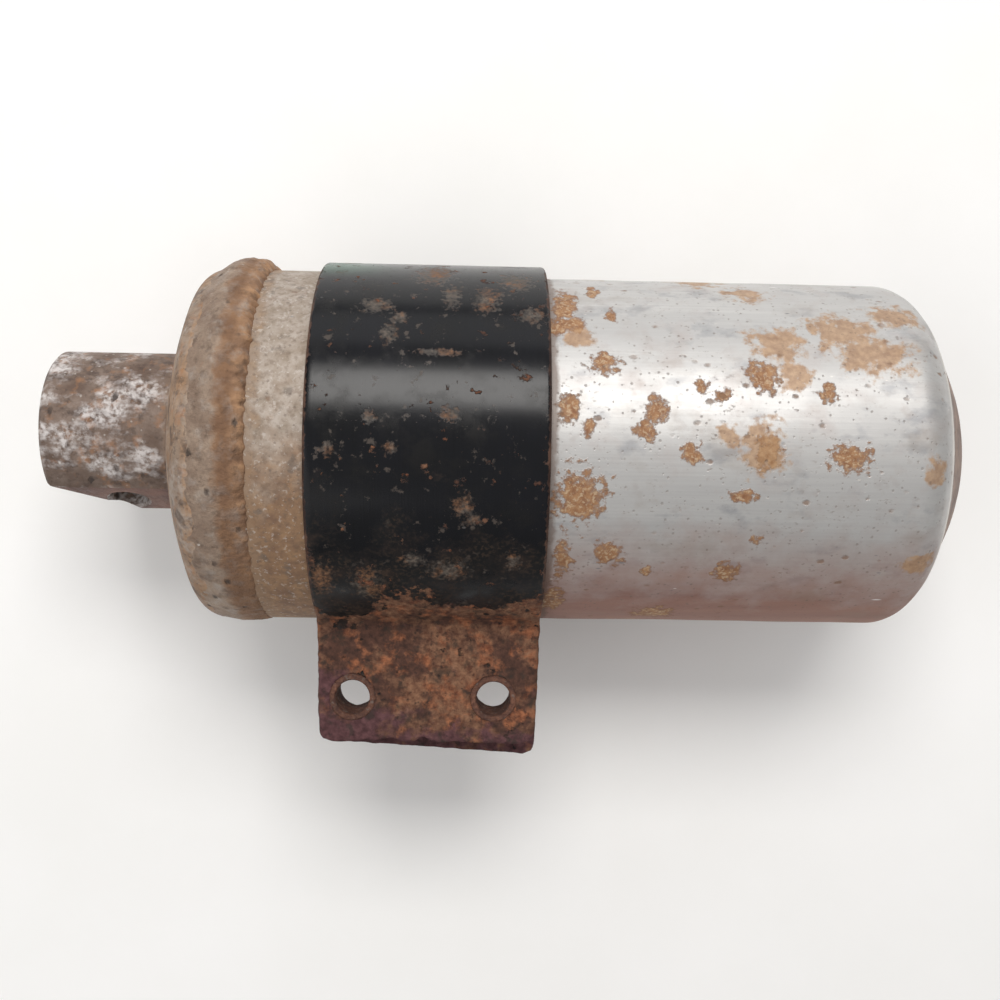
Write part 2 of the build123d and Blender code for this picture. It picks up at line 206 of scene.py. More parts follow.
def specks(place, spacing, size, share, stretch=(1, 1, 1), seed=0.0):
    """Mask of specks up to size mm across, one to each cell of spacing mm in a share of the cells."""
    tree = place.id_data
    scale = [s / spacing for s in stretch]
    moved = add(tree, "ShaderNodeMapping", {"Vector": place, "Location": [seed] * 3, "Scale": scale})
    wobble = add(tree, "ShaderNodeTexNoise", {"Vector": moved, "Scale": 4.0}).node.outputs["Color"]
    bent = add(tree, "ShaderNodeVectorMath", {0: wobble, 1: [0.25] * 3, 2: moved}, operation="MULTIPLY_ADD")
    inside = picked_cells(place, share, bent, size / spacing / 2)
    return mask_from(place, (inside, (0.0, 0.2 * size / spacing)))


def hairlines(place, pitch, width, length, share, slant=0.2, seed=0.0):
    """Mask of short straight scratches, width mm wide and up to length mm long, slanted off x."""
    turned = add(place.id_data, "ShaderNodeMapping", {
        "Vector": place, "Rotation": (0, 0, slant), "Scale": (1 / length, 1 / pitch, 1 / pitch),
        "Location": [seed] * 3})
    inside = picked_cells(place, share, turned, width / pitch)
    return mask_from(place, (inside, (0.0, 0.4 * width / pitch)))


def ragged(place, source, size, amount, low, high, seed=0.0):
    """Mask from a source, with its edge torn by noise of size mm."""
    tear = patches(place, size, 0.25, 0.75, detail=6.0, seed=seed)
    ends = {0: tear, 1: amount, 2: mask_from(place, source)}
    torn = add(place.id_data, "ShaderNodeMath", ends, operation="MULTIPLY_ADD")
    return mask_from(place, (torn, (low + amount / 2, high + amount / 2)))


def tone(tint):
    """Linear colour of a tint: an sRGB hex colour, or a mask with the tints at its 0 and at its 1."""
    if isinstance(tint, str):
        return colour(tint)
    mask, first, second = tint
    ends = {0: mask, 6: tone(first), 7: tone(second)}
    return add(mask.id_data, "ShaderNodeMix", ends, data_type="RGBA")


def overlap(mask, *others):
    """Mask that is only as strong as all of the masks multiplied together."""
    for other in others:
        mask = add(mask.id_data, "ShaderNodeMath", {0: mask, 1: other}, operation="MULTIPLY")
    return mask


def skin(tint, roughness, metallic=0.0):
    """First look of a material, before anything covers it."""
    return {"Base Color": tone(tint), "Roughness": roughness, "Metallic": metallic}


def cover(look, mask, strength, tint, roughness=None, metallic=None):
    """Lay another finish over the look so far, where mask is 1."""
    if strength != 1.0:
        mask = overlap(mask, strength)
    tree = mask.id_data
    ends = {0: mask, 6: look["Base Color"], 7: tone(tint)}
    look["Base Color"] = add(tree, "ShaderNodeMix", ends, data_type="RGBA")
    for key, value in (("Roughness", roughness), ("Metallic", metallic)):
        if value is not None:
            look[key] = add(tree, "ShaderNodeMix", {0: mask, 2: look[key], 3: value})


def relief(heights):
    """Normal from several height masks, each with its depth in millimetres; negative depths are sunk."""
    normal = None
    for mask, depth in heights:
        inputs = {"Height": mask, "Distance": abs(depth) * MM, "Strength": 1.0}
        if normal is not None:
            inputs["Normal"] = normal
        normal = add(mask.id_data, "ShaderNodeBump", inputs, invert=depth < 0)
    return normal


def shade(material, look, heights=(), **fixed):
    """Close the material: the look and relief go into one Principled shader."""
    tree = material.node_tree
    inputs = dict(look)
    if heights:
        inputs["Normal"] = relief(heights)
    for key, value in fixed.items():
        inputs[key.replace("_", " ")] = value
    shader = add(tree, "ShaderNodeBsdfPrincipled", inputs)
    add(tree, "ShaderNodeOutputMaterial", {"Surface": shader})
    return material


# ---- Materials ----------------------------------------------------------------------------------------

def aluminium_can():
    """Drawn aluminium, satin: fine streaks along the draw, oxide haze, pits, and brown water stains."""
    material, place = surface("drawn_satin_aluminium")
    tree = place.id_data
    along = add(tree, "ShaderNodeSeparateXYZ", {"Vector": place})
    up = along.node.outputs["Y"]
    streaks = patches(place, 0.5, 0.3, 0.7, stretch=(0.012, 1, 1), detail=3.0)
    broad = patches(place, 5.0, 0.3, 0.7, stretch=(0.08, 1, 1), detail=4.0, seed=7)
    haze = patches(place, 14.0, 0.42, 0.68, stretch=(0.5, 1, 1), seed=3)
    look = skin((streaks, "#c4c3c2", "#cfcecc"), 0.4, 0.66)
    cover(look, broad, 0.5, "#b3b2b2", roughness=0.47)
    cover(look, haze, 0.6, "#b8b7b6", roughness=0.58, metallic=0.45)
    clouded = patches(place, 5.0, 0.55, 0.68, stretch=(0.6, 1, 1), seed=61)
    cover(look, clouded, 0.4, "#7f828b", roughness=0.5)

    # Painted reflection: a red-brown tint on the can's low side and round its far end stands for the red
    # ground that it reflects.
    red_reflection_mask = ragged(place, (up, low_reflection_reach), 7.0, 0.35, 0.0, 0.85, seed=11)
    red_ground_reflection = (broad, "#7d4a39", "#93624d")
    cover(look, red_reflection_mask, 0.88, red_ground_reflection, roughness=0.66, metallic=0.15)
    # Painted shadow: a brown line on the can beside the strap's right edge, where the strap shades it.
    strap_edge_shadow = ragged(place, (along, strap_shadow_reach), 3.0, 0.8, 0.3, 0.8, seed=63)
    cover(look, strap_edge_shadow, 0.6, "#6a5040", roughness=0.7, metallic=0.2)
    smears = patches(place, 9.0, 0.56, 0.7, stretch=(0.7, 1, 1), seed=21)
    cover(look, smears, 0.28, "#8f7f70", roughness=0.6, metallic=0.6)

    # Flank and domed centre of the closed end: painted shade and a painted brown reflection, inside the
    # ridge.
    flat_place = add(tree, "ShaderNodeVectorMath", {0: place, 1: (0, 1, 1)}, operation="MULTIPLY")
    reach = add(tree, "ShaderNodeVectorMath", {0: flat_place}, operation="LENGTH")
    dome = overlap(mask_from(place, (along, end_shade_reach)), mask_from(place, (reach, dome_shade_reach)))
    dome_shade = ragged(place, dome, 5.0, 0.6, 0.1, 0.9, seed=31)
    dome_tone = patches(place, 4.0, 0.38, 0.62, seed=33)
    cover(look, dome_shade, 0.85, (dome_tone, "#6d5144", "#957460"), roughness=0.6, metallic=0.3)

    # The thick mouth outside the strap is dull and caked with pale dust.
    mouth = mask_from(place, (along, mouth_dust))
    caked = ragged(place, mouth, 3.0, 0.4, 0.3, 0.6, seed=41)
    clouds = patches(place, 3.0, 0.35, 0.65, seed=43)
    browned = ragged(place, (up, mouth_brown), 8.0, 0.8, 0.2, 0.8, seed=45)
    pale_dust = (clouds, "#968879", "#b5aaa0")
    brown_dust = (clouds, "#80624c", "#a1805f")
    dust = (browned, pale_dust, brown_dust)
    cover(look, caked, 0.93, dust, roughness=0.66, metallic=0.3)
    tan_foot = ragged(place, "foot", 3.0, 0.9, 0.35, 0.75, seed=47)
    cover(look, tan_foot, 0.6, (clouds, "#a08468", "#86705e"), roughness=0.85, metallic=0.0)
    grey = patches(place, 4.0, 0.58, 0.66, seed=49)
    cover(look, overlap(grey, mouth), 0.6, "#6d645d")
    fine_dirt = patches(place, 1.0, 0.5, 0.64, seed=53)
    cover(look, overlap(fine_dirt, caked), 0.4, "#6e5b4c")
    fine_oxide = patches(place, 0.9, 0.58, 0.66, seed=55)
    cover(look, overlap(fine_oxide, caked), 0.4, "#d4cdc7", roughness=0.8)
    scuffs = hairlines(place, 1.6, 0.22, 5.0, 0.3, slant=0.5, seed=2.2)
    scuffed_area = patches(place, 9.0, 0.5, 0.58, seed=51)
    cover(look, overlap(scuffs, scuffed_area), 0.85, "#e9e4de", roughness=0.4)

    # Water stains: a ragged brown skin with a darker rim and pale specks.
    stain = mask_from(place, "stain")
    stained = ragged(place, stain, 2.0, 1.6, -0.08, 0.2, seed=5)
    inner = ragged(place, stain, 2.0, 1.6, 0.1, 0.5, seed=5)
    mottle = patches(place, 1.4, 0.35, 0.65, seed=9)
    crumbs = patches(place, 0.7, 0.5, 0.62, seed=13)
    middle = (mottle, "#865b3d", "#ad845d")
    cover(look, stained, 0.85, "#7f5b42", roughness=0.75, metallic=0.1)
    cover(look, inner, 0.9, middle)
    pale = overlap(crumbs, inner)
    cover(look, pale, 0.6, "#cbb699")
    faint = ragged(place, "faint", 2.6, 1.5, -0.1, 0.35, seed=15)
    faded = (mottle, "#98724f", "#b99672")
    cover(look, faint, 0.8, faded, roughness=0.65, metallic=0.3)

    pits = specks(place, 1.7, 1.5, 0.3, stretch=(0.7, 1, 1))
    spread = patches(place, 10.0, 0.42, 0.6, seed=65)
    pitted = overlap(pits, spread)
    cover(look, pitted, 0.75, "#7a5c46", roughness=0.8, metallic=0.0)
    grit = patches(place, 0.8, 0.6, 0.68, stretch=(0.6, 1, 1), seed=67)
    cover(look, overlap(grit, spread), 0.5, "#74675d", roughness=0.7, metallic=0.3)
    fine_pits = specks(place, 0.9, 0.75, 0.4, seed=17)
    cover(look, fine_pits, 0.45, "#6f6258", roughness=0.7, metallic=0.3)
    scratches = hairlines(place, 4.0, 0.3, 22.0, 0.16, slant=0.25, seed=0.9)
    cover(look, scratches, 0.8, "#f4f4f4", roughness=0.25)
    dark_lines = hairlines(place, 3.0, 0.3, 9.0, 0.3, slant=0.9, seed=4.1)
    cover(look, dark_lines, 0.7, "#6e7075", roughness=0.5)
    # Painted highlight: a pale, glossy line along the end's ridge.
    cover(look, mask_from(place, "ridge"), 0.7, "#e2ddd6", roughness=0.3, metallic=1.0)
    heights = [(streaks, 0.006), (stained, 0.06), (pitted, -0.12), (fine_pits, -0.04), (caked, 0.05)]
    return shade(material, look, heights)


def forged_head():
    """Forged aluminium, weathered: grey-brown skin, white oxide bloom, rusty dust and corrosion pits."""
    material, place = surface("forged_aluminium_oxidised")
    tree = place.id_data
    along = add(tree, "ShaderNodeSeparateXYZ", {"Vector": place})
    clouds = patches(place, 6.0, 0.35, 0.65)
    grain = patches(place, 0.9, 0.3, 0.7, seed=3)
    boss = mask_from(place, (along, boss_oxide))
    shoulder_skin = (clouds, "#86705f", "#ab9886")
    boss_skin = (clouds, "#66544a", "#8c7c72")
    look = skin((boss, shoulder_skin, boss_skin), 0.68, 0.35)
    cover(look, grain, 0.3, "#6f5a4b")

    # Orange dust settles in rings, at the bead's foot and where the shoulder meets the boss.
    foot_dust = ragged(place, (along, head_foot_dust), 4.0, 0.6, 0.3, 0.8, seed=7)
    cover(look, foot_dust, 0.75, "#b58a62", roughness=0.85, metallic=0.0)
    band = patches(place, 4.0, 0.46, 0.6, stretch=(1.6, 0.3, 0.3), seed=19)
    shoulder = mask_from(place, (along, shoulder_dust))
    cover(look, overlap(band, shoulder), 0.55, "#a9835f", roughness=0.8, metallic=0.1)
    dark = patches(place, 4.0, 0.53, 0.62, stretch=(0.7, 1, 1), seed=23)
    cover(look, dark, 0.7, "#4e403a", roughness=0.75, metallic=0.2)
    fine_dark = patches(place, 1.2, 0.56, 0.64, seed=25)
    cover(look, fine_dark, 0.5, "#54463f")
    orange = patches(place, 3.0, 0.54, 0.68, seed=29)
    cover(look, orange, 0.55, "#a3744f", roughness=0.85, metallic=0.0)

    # White oxide: powdery bloom, heaviest on the boss.
    bloom = patches(place, 8.0, 0.46, 0.6, stretch=(0.8, 1.2, 1), seed=37)
    powder = patches(place, 1.3, 0.38, 0.58, seed=39)
    film = overlap(bloom, powder)
    bloom_on_boss = overlap(film, boss)
    cover(look, bloom_on_boss, 0.88, "#d6d1d0", roughness=0.9, metallic=0.0)
    cover(look, overlap(film, shoulder), 0.45, "#b9b1aa", roughness=0.85, metallic=0.1)
    flecks = specks(place, 1.1, 0.8, 0.25, seed=41)
    cover(look, flecks, 0.45, "#d0cac4", roughness=0.9, metallic=0.0)
    pits = specks(place, 2.8, 3.2, 0.16, stretch=(1.5, 0.8, 1), seed=43)
    cover(look, pits, 0.9, "#3d332f", roughness=0.8, metallic=0.0)

    # Painted reflection: a red-brown tint on the milled flat round the port that faces down, picked by the
    # way the surface faces, for the red ground that it reflects.
    normal = add(tree, "ShaderNodeTexCoord").node.outputs["Normal"]
    down = add(tree, "ShaderNodeVectorMath", {0: normal, 1: port_way}, operation="DOT_PRODUCT")
    milled = mask_from(place, (down, (0.985, 0.995)))
    flat_red_reflection = (clouds, "#5d4037", "#80594b")
    cover(look, milled, 0.9, flat_red_reflection, roughness=0.5, metallic=0.4)
    heights = [(grain, 0.06), (clouds, 0.15), (flecks, 0.08), (pits, -0.3), (bloom_on_boss, 0.08)]
    return shade(material, look, heights)


def weld_metal():
    """Arc-welded aluminium filler: grey-tan oxide, with rusty dust packed into its rippled side."""
    material, place = surface("aluminium_weld_bead")
    along = add(place.id_data, "ShaderNodeSeparateXYZ", {"Vector": place})
    clouds = patches(place, 5.0, 0.35, 0.65)
    grain = patches(place, 0.7, 0.3, 0.7, seed=3)
    look = skin((clouds, "#867060", "#a89482"), 0.62, 0.35)
    cover(look, grain, 0.3, "#6f6056")
    packed = ragged(place, (along, packed_dust), 4.0, 1.0, 0.3, 0.85, seed=17)
    dust = (clouds, "#8a6a52", "#b68c66")
    cover(look, packed, 0.85, dust, roughness=0.85, metallic=0.1)
    dark = patches(place, 2.6, 0.53, 0.66, seed=9)
    cover(look, dark, 0.55, "#5e4c40", roughness=0.85, metallic=0.1)
    bare = patches(place, 3.4, 0.52, 0.68, seed=15)
    cover(look, bare, 0.5, "#aaa199", roughness=0.55, metallic=0.4)
    valley = mask_from(place, (mask_from(place, "crest"), (0.75, 0.2)))
    cover(look, overlap(valley, packed), 0.55, "#694a35")
    flecks = specks(place, 2.4, 0.7, 0.25, seed=19)
    cover(look, flecks, 0.6, "#d8d2cc", roughness=0.8)
    pits = specks(place, 2.4, 2.4, 0.16, stretch=(1.3, 0.8, 1), seed=23)
    cover(look, pits, 0.85, "#40352f", roughness=0.8, metallic=0.0)
    return shade(material, look, [(grain, 0.14), (dark, -0.1), (pits, -0.3)])


def strap_paint():
    """Black enamel on steel sheet: semi-gloss where sound, dull and dust-speckled below, chipped and rusty,
    with a painted green reflection on its upper left.
    """
    material, place = surface("black_enamel_on_steel")
    lines = patches(place, 0.45, 0.3, 0.7, stretch=(1, 0.02, 0.02), detail=2.0)
    sheen = patches(place, 16.0, 0.35, 0.65, seed=3)
    look = skin((sheen, "#06070a", "#0b0c12"), 0.2)
    cover(look, lines, 0.2, "#12141b", roughness=0.26)
    dull = patches(place, 7.0, 0.5, 0.66, seed=7)
    cover(look, dull, 0.5, "#151312", roughness=0.42)
    # Painted reflection: a dark green tint on the strap's upper left, for the green plants that it
    # reflects.
    cover(look, mask_from(place, "green"), 0.85, "#124f3a")

    scratches = hairlines(place, 2.6, 0.3, 7.0, 0.3, slant=0.7, seed=1.3)
    cover(look, scratches, 0.45, "#8d8a88", roughness=0.5)
    crossing = hairlines(place, 3.2, 0.3, 5.0, 0.3, slant=1.5, seed=3.7)
    cover(look, crossing, 0.35, "#7a7674", roughness=0.5)
    grime = patches(place, 2.6, 0.62, 0.68, seed=13)
    cover(look, grime, 0.4, "#6b6058", roughness=0.8)

    # Dust speckles thicken down towards the flanges.
    up = add(place.id_data, "ShaderNodeSeparateXYZ", {"Vector": place}).node.outputs["Y"]
    areas = ragged(place, (up, enamel_wear), 9.0, 1.1, 0.45, 1.0, seed=51)
    speckle = patches(place, 0.8, 0.5, 0.6, seed=53)
    dusted = overlap(areas, speckle)
    cover(look, areas, 0.8, "#070505", roughness=0.7)
    cover(look, dusted, 0.4, "#4f3e31", roughness=0.8)
    smear = patches(place, 5.0, 0.48, 0.68, seed=55)
    cover(look, overlap(smear, areas), 0.4, "#45332a", roughness=0.8)

    # Chips with pale grime, and bare brown edges.
    torn = ragged(place, "chip", 1.0, 1.6, -0.15, 0.8, seed=17)
    flake = patches(place, 0.9, 0.3, 0.6, seed=18)
    chip = overlap(torn, flake)
    tan = patches(place, 5.0, 0.46, 0.56, seed=19)
    cover(look, chip, 0.8, (tan, "#6f655c", "#8c6447"), roughness=0.8)
    edge = ragged(place, "edge", 1.6, 1.2, 0.4, 0.7, seed=23)
    cover(look, edge, 0.8, (tan, "#38261f", "#62473a"), roughness=0.8)

    # Rusted flanges: orange and tan scale over maroon, with black flecks of the old enamel.
    rusty = ragged(place, "rust", 3.4, 1.5, 0.40, 0.56, seed=29)
    fine = patches(place, 1.5, 0.34, 0.66, seed=31)
    wide = patches(place, 9.0, 0.44, 0.56, seed=37)
    bright = patches(place, 4.0, 0.52, 0.66, seed=38)
    maroon = ragged(place, "maroon", 5.0, 1.2, 0.35, 0.75, seed=41)
    brown = (fine, "#3c2a24", "#5d4035")
    tan_rust = (fine, "#59392c", "#8f6a52")
    orange = (fine, "#693d2b", "#a56b4b")
    rust = (bright, (wide, brown, tan_rust), orange)
    purple = (fine, "#452c2e", "#654547")
    cover(look, rusty, 1.0, (maroon, rust, purple), roughness=0.9)
    grey_green = patches(place, 3.2, 0.55, 0.66, seed=39)
    old = overlap(grey_green, rusty)
    cover(look, old, 0.65, "#332e29")
    flecks = patches(place, 1.3, 0.58, 0.7, seed=43)
    cover(look, overlap(flecks, rusty), 0.75, "#231a18", roughness=0.7)
    crust = overlap(fine, rusty)
    heights = [(lines, 0.003), (scratches, -0.02), (chip, -0.05), (rusty, 0.08), (crust, 0.15)]
    return shade(material, look, heights, Specular_IOR_Level=0.28)


def rusted_sleeve():
    """Turned mild steel sleeve, rusted brown with a little bare metal on its rim."""
    material, place = surface("turned_steel_rusted")
    fine = patches(place, 0.8, 0.35, 0.65)
    wide = patches(place, 3.0, 0.4, 0.6, seed=3)
    look = skin((fine, "#523228", "#805845"), 0.8, 0.15)
    cover(look, wide, 0.6, "#3a2825")
    bare = patches(place, 1.6, 0.56, 0.64, seed=7)
    cover(look, bare, 0.4, "#8d837b", roughness=0.5, metallic=0.6)
    return shade(material, look, [(fine, 0.12)])


def clean_metal(name, light, dark, roughness, line_pitch, stretch):
    """Bright metal that never met the weather: fine lines of its making and a faint film of oil."""
    material, place = surface(name)
    lines = patches(place, line_pitch, 0.3, 0.7, stretch=stretch, detail=3.0)
    film = patches(place, 9.0, 0.45, 0.65, seed=5)
    look = skin((lines, dark, light), roughness, 1.0)
    cover(look, film, 0.5, dark, roughness=roughness + 0.15)
    marks = specks(place, 3.0, 0.6, 0.3, seed=9)
    cover(look, marks, 0.5, "#6b6a66", roughness=roughness + 0.3)
    return shade(material, look, [(lines, 0.01), (marks, -0.03)])


def moulded(name, light, dark, roughness, grain, depth):
    """Moulded or pressed soft stuff: a fine grain and cloudy tone."""
    material, place = surface(name)
    fine = patches(place, grain, 0.3, 0.7, detail=4.0)
    clouds = patches(place, 6.0, 0.35, 0.65, seed=5)
    look = skin((clouds, dark, light), roughness)
    cover(look, fine, 0.35, dark, roughness=min(1.0, roughness + 0.1))
    return shade(material, look, [(fine, depth)])


def felt():
    """Needled wool felt: matted fibres that cross every way, off-white and quite matt."""
    material, place = surface("needled_wool_felt")
    across = patches(place, 0.35, 0.35, 0.65, stretch=(0.15, 1, 1), detail=3.0)
    along = patches(place, 0.35, 0.35, 0.65, stretch=(1, 0.15, 1), detail=3.0, seed=5)
    third = patches(place, 0.35, 0.35, 0.65, stretch=(1, 1, 0.15), detail=3.0, seed=9)
    look = skin((across, "#b7ad98", "#ddd6c6"), 0.97)
    cover(look, along, 0.35, "#a79c86")
    oil = patches(place, 12.0, 0.5, 0.65, seed=11)
    cover(look, oil, 0.4, "#a8935f")
    return shade(material, look, [(across, 0.15), (along, 0.15), (third, 0.15)], Sheen_Weight=0.4)


def desiccant():
    """Molecular sieve beads, fired clay: matt cream balls about 3 mm across, some browner."""
    material, place = surface("molecular_sieve_beads")
    browner = patches(place, 3.4, 0.35, 0.65, detail=1.0)
    fine = patches(place, 0.5, 0.3, 0.7, seed=3)
    look = skin((browner, "#b59f80", "#d9cbb2"), 0.92)
    cover(look, fine, 0.3, "#a48d6c")
    return shade(material, look, [(fine, 0.05)])


# ---- Mesh helpers -------------------------------------------------------------------------------------

def lumps(points, size, seed):
    """Smooth noise from -1 to 1 at points, with lumps about size mm across."""
    spot = points / size
    cell = np.floor(spot).astype(np.int64)
    part = spot - cell
    part = part * part * (3 - 2 * part)
    total = np.zeros(len(points))
    for corner in product((0, 1), repeat=3):
        key = (cell + corner) @ np.array([73856093, 19349663, 83492791]) + seed * 7919
        key = (key ^ (key >> 13)) * 1274126177 & 0xFFFFFFFF
        key = (key ^ (key >> 15)) * 668265263 & 0xFFFFFFFF
        total += np.prod(np.where(corner, part, 1 - part), axis=1) * ((key >> 8 & 0xFFFF) / 32767.5 - 1)
    return total


def smooth_step(value, start, stop):
    """0 before start, 1 after stop, and an easy curve between them."""
    share = np.clip((value - start) / (stop - start), 0, 1)
    return share * share * (3 - 2 * share)


def angle_of(points):
    """Degrees round the can from +Z towards +Y."""
    return np.degrees(np.arctan2(points[:, 1], points[:, 2]))


def mark_field(points, marks):
    """1 at the middle of the nearest mark, 0 at its outline and falling outside it."""
    best = np.full(len(points), -1.0)
    turn = angle_of(points)
    for x, middle, half_length, half_turn in marks:
        away = (turn - middle + 180) % 360 - 180
        gap = np.hypot((points[:, 0] - x) / half_length, away / half_turn) / mark_growth
        best = np.maximum(best, 1 - gap)
    return best


def grid_faces(rows, columns, first=0, wrap=True):
    """Quads of a grid whose columns close into a loop if wrap is set."""
    row = np.arange(rows - 1)[:, None]
    column = np.arange(columns if wrap else columns - 1)[None, :]
    beside = (column + 1) % columns
    a = row * columns + column
    b = row * columns + beside
    quads = np.stack([a, b, b + columns, a + columns], axis=-1).reshape(-1, 4)
    return (quads + first).tolist()


def read_points(thing):
    """Points of a mesh object, in mm about the can axis."""
    flat = np.empty(len(thing.data.vertices) * 3)
    thing.data.vertices.foreach_get("co", flat)
    return (flat.reshape(-1, 3) - np.array(axis)) / MM


def write_points(thing, points):
    """Move the points of a mesh object to places in mm about the can axis."""
    thing.data.vertices.foreach_set("co", (points * MM + np.array(axis)).ravel())
    thing.data.update()


def hold(thing, name, values):
    """Keep a number at each point of a mesh for its material to read."""
    field = thing.data.attributes.new(name, "FLOAT", "POINT")
    field.data.foreach_set("value", np.asarray(values, np.float32))


def make_mesh(name, points, faces):
    """Closed mesh from points in mm about the can axis, its faces pointing outwards."""
    mesh = bpy.data.meshes.new(name)
    mesh.from_pydata((np.asarray(points) * MM + np.array(axis)).tolist(), [], faces)
    work = bmesh.new()
    work.from_mesh(mesh)
    bmesh.ops.recalc_face_normals(work, faces=work.faces)
    work.to_mesh(mesh)
    work.free()
    mesh.shade_smooth()
    thing = bpy.data.objects.new(name, mesh)
    bpy.context.scene.collection.objects.link(thing)
    return thing


def settle(thing):
    """Turn an object with its modifiers into a plain mesh."""
    mesh = bpy.data.meshes.new_from_object(thing.evaluated_get(bpy.context.evaluated_depsgraph_get()))
    thing.modifiers.clear()
    thing.data = mesh
    return thing


def stand_in(thing, node, body, material):
    """Show a made piece in place of its CAD node."""
    thing.data.materials.clear()
    thing.data.materials.append(material)
    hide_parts(node)
    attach(thing, body)


def arc_points(centre, radius, start, stop, step):
    """Points along an arc in a plane, degrees from its first axis, about step mm apart."""
    count = max(2, round(abs(radians(stop - start)) * radius / step))
    turn = np.radians(np.linspace(start, stop, count + 1))
    return np.stack([centre[0] + radius * np.cos(turn), centre[1] + radius * np.sin(turn)], axis=1)


def line_points(start, stop, step):
    """Points along a straight line, about step mm apart."""
    count = max(1, round(np.hypot(stop[0] - start[0], stop[1] - start[1]) / step))
    return np.linspace(start, stop, count + 1)


# ---- Can ----------------------------------------------------------------------------------------------

def can_end(inset, step):
    """Outline of the closed end, from the side wall to the axis: corner, flank and domed centre."""
    corner_middle = (weld_x + can_length, body_radius - end_corner)
    corner = arc_points(corner_middle, end_corner - inset, 90, 90 - end_turn, step)
    turn = radians(end_turn)
    crown = crown_from / cos(turn)
    flank_from = body_radius - end_corner + end_corner * cos(turn)
    flank_end = end_corner * sin(turn) + (flank_from - crown_from) / tan(turn)
    crown_middle = (weld_x + can_length + flank_end - crown * sin(turn), 0)
    dome = arc_points(crown_middle, crown - inset, 90 - end_turn, 0, step)
    flank = line_points(corner[-1], dome[0], step)
    return np.concatenate([corner, flank[1:-1], dome])


def make_can(around=340, step=0.85):
    """Drawn can as one closed shell, with shallow dents and a slightly leaning end."""
    taper_start = weld_x + mouth_length
    taper_stop = taper_start + mouth_taper
    wall_stop = weld_x + can_length
    outside = np.concatenate([
        line_points((weld_x, mouth_radius), (taper_start, mouth_radius), step),
        line_points((taper_start, mouth_radius), (taper_stop, body_radius), step)[1:],
        line_points((taper_stop, body_radius), (wall_stop, body_radius), step)[1:-1],
        can_end(0.0, step * 0.6),
    ])
    inside = np.concatenate([
        line_points((weld_x, bore_radius), (wall_stop, bore_radius), step * 12)[:-1],
        can_end(end_wall, step * 4),
    ])
    outline = np.concatenate([outside[::-1], inside])
    on_end = outline[:, 0] > wall_stop + 1
    outline[:, 0] += ridge_height * np.exp(-((outline[:, 1] - end_ridge) / ridge_width) ** 2) * on_end
    rings = outline[1:-1]
    turn = np.arange(around) * 2 * pi / around
    x = np.repeat(rings[:, 0], around)
    reach = np.repeat(rings[:, 1], around)
    spin = np.tile(turn, len(rings))
    points = np.stack([x, reach * np.sin(spin), reach * np.cos(spin)], axis=1)
    poles = np.array([[outline[0][0], 0, 0], [outline[-1][0], 0, 0]])
    points = np.concatenate([points, poles])
    faces = grid_faces(len(rings), around)
    last = (len(rings) - 1) * around
    first_pole = len(points) - 2
    for i in range(around):
        after = (i + 1) % around
        faces.append([first_pole, after, i])
        faces.append([first_pole + 1, last + i, last + after])

    outer = np.hypot(points[:, 1], points[:, 2]) > bore_radius + 0.5
    outer |= points[:, 0] > wall_stop + end_corner
    out = points * np.array([0, 1, 1])
    out /= np.maximum(np.linalg.norm(out, axis=1, keepdims=True), 1)
    dents = dent_depth * lumps(points, 16.0, 3) + 0.3 * dent_depth * lumps(points, 5.0, 4)
    points += out * np.where(outer, dents, 0)[:, None]
    lean = end_tilt * smooth_step(points[:, 0], wall_stop - 12, wall_stop)
    points[:, 0] -= lean * points[:, 1]
    return make_mesh("can_shell", points, faces), points


def scatter_marks(seed, count, x_range, turn_range, largest):
    """Marks for the side that is turned away, sized like those in front."""
    draw = np.random.default_rng(seed)
    marks = []
    for _ in range(count):
        half = draw.uniform(0.25, 1.0) * largest
        marks.append((
            draw.uniform(*x_range), draw.uniform(*turn_range), half, half * draw.uniform(1.0, 2.2)))
    return marks


# Stains as x mm, degrees round, half length in mm and half turn in degrees.
front_stains = [
    (28, 49, 2.5, 8), (28, 39, 4, 4), (34, 58, 1.3, 5), (37, 44, 1.2, 3), (35, 25, 2.8, 3),
    (28, 10, 2.1, 4), (32, 5, 1, 3), (45, 10, 1.7, 4), (43, 4, 2.3, 3), (30, -16, 4.7, 8),
    (37, -35, 2.8, 4), (45, -41, 1.2, 2), (52, -2, 2.1, 3), (54, 18, 1.4, 2), (58, 15, 1.6, 2),
    (66, 21, 2.8, 5), (62, -15, 3.1, 2), (79, 17, 1.8, 3), (83, -3, 3.9, 4), (61, -41, 2.4, 4),
    (66, -29, 1.2, 2), (27, -57, 2.1, 8), (28, -37, 1.6, 7), (67, -1, 2.4, 5)]
faint_stains = [
    (70, 33, 5.6, 6), (83, 39, 6.6, 8), (89, 30, 7, 7), (95, 47, 4.8, 6), (30, 34, 3, 4), (72, 22, 3, 5),
    (66, 59, 3.9, 6), (66, -1, 4.0, 8), (59, 3, 2.3, 3), (100, -37, 3.2, 4), (100, -6, 2.4, 4)]

can, can_points = make_can()
back_stains = scatter_marks(5, 34, (26, 96), (75, 295), 4.5)
hold(can, "stain", mark_field(can_points, front_stains + back_stains))
hold(can, "faint", mark_field(can_points, faint_stains + scatter_marks(6, 14, (26, 98), (75, 295), 6)))
hold(can, "foot", smooth_step(can_points[:, 0], weld_x + 9.5, weld_x + 4.0))
# Band round the end's ridge that carries the painted highlight.
ring_reach = np.hypot(can_points[:, 1], can_points[:, 2])
on_end = can_points[:, 0] > weld_x + can_length
hold(can, "ridge", np.where(on_end, 1 - smooth_step(np.abs(ring_reach - end_ridge), 0.2, 1.0), 0))
stand_in(can, "body_shell", "can", aluminium_can())


# ---- Weld bead ----------------------------------------------------------------------------------------

